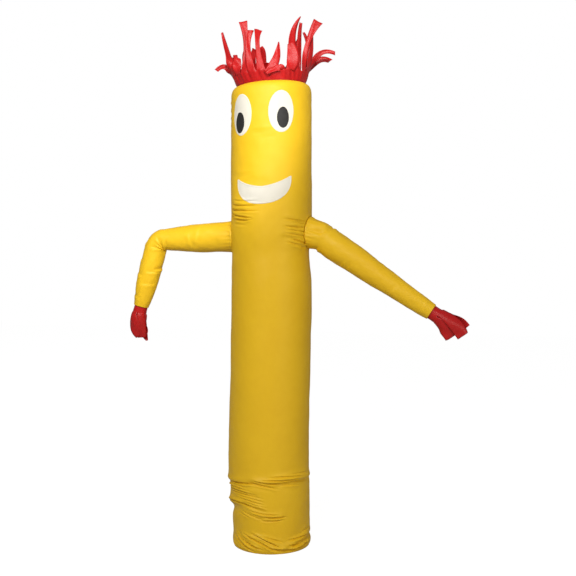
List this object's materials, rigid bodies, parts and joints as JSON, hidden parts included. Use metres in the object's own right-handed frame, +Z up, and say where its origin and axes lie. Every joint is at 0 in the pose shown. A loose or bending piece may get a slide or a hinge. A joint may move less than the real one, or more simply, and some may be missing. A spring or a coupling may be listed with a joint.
{
  "type": "inflatable air dancer",
  "caption": "Upright inflated cloth tube with a smiling face, slit-cloth hair and hollow arms that end in slit cuffs. It stands on its open hem and waves above a blower.",
  "frame": {"origin": "centre of the hem's mouth, on the ground", "axes": "+Z up the body, -Y the way the face looks, +X and -X the way the arms leave the body"},
  "size_m": [1.1665, 0.4052, 1.7679],
  "materials": {
    "yellow_nylon": "light woven nylon with a soft sheen",
    "red_nylon": "light woven nylon with a soft sheen",
    "white_cloth": "matte woven cloth",
    "black_cloth": "matte woven cloth"
  },
  "bodies": {
    "root": {"body_tube": "yellow_nylon", "arm_left": "yellow_nylon", "arm_right": "yellow_nylon", "hair": "red_nylon", "hand_left": "red_nylon", "hand_right": "red_nylon", "eye_left": "white_cloth", "eye_right": "white_cloth", "smile": "white_cloth", "pupil_left": "black_cloth", "pupil_right": "black_cloth"}
  },
  "joints": []
}
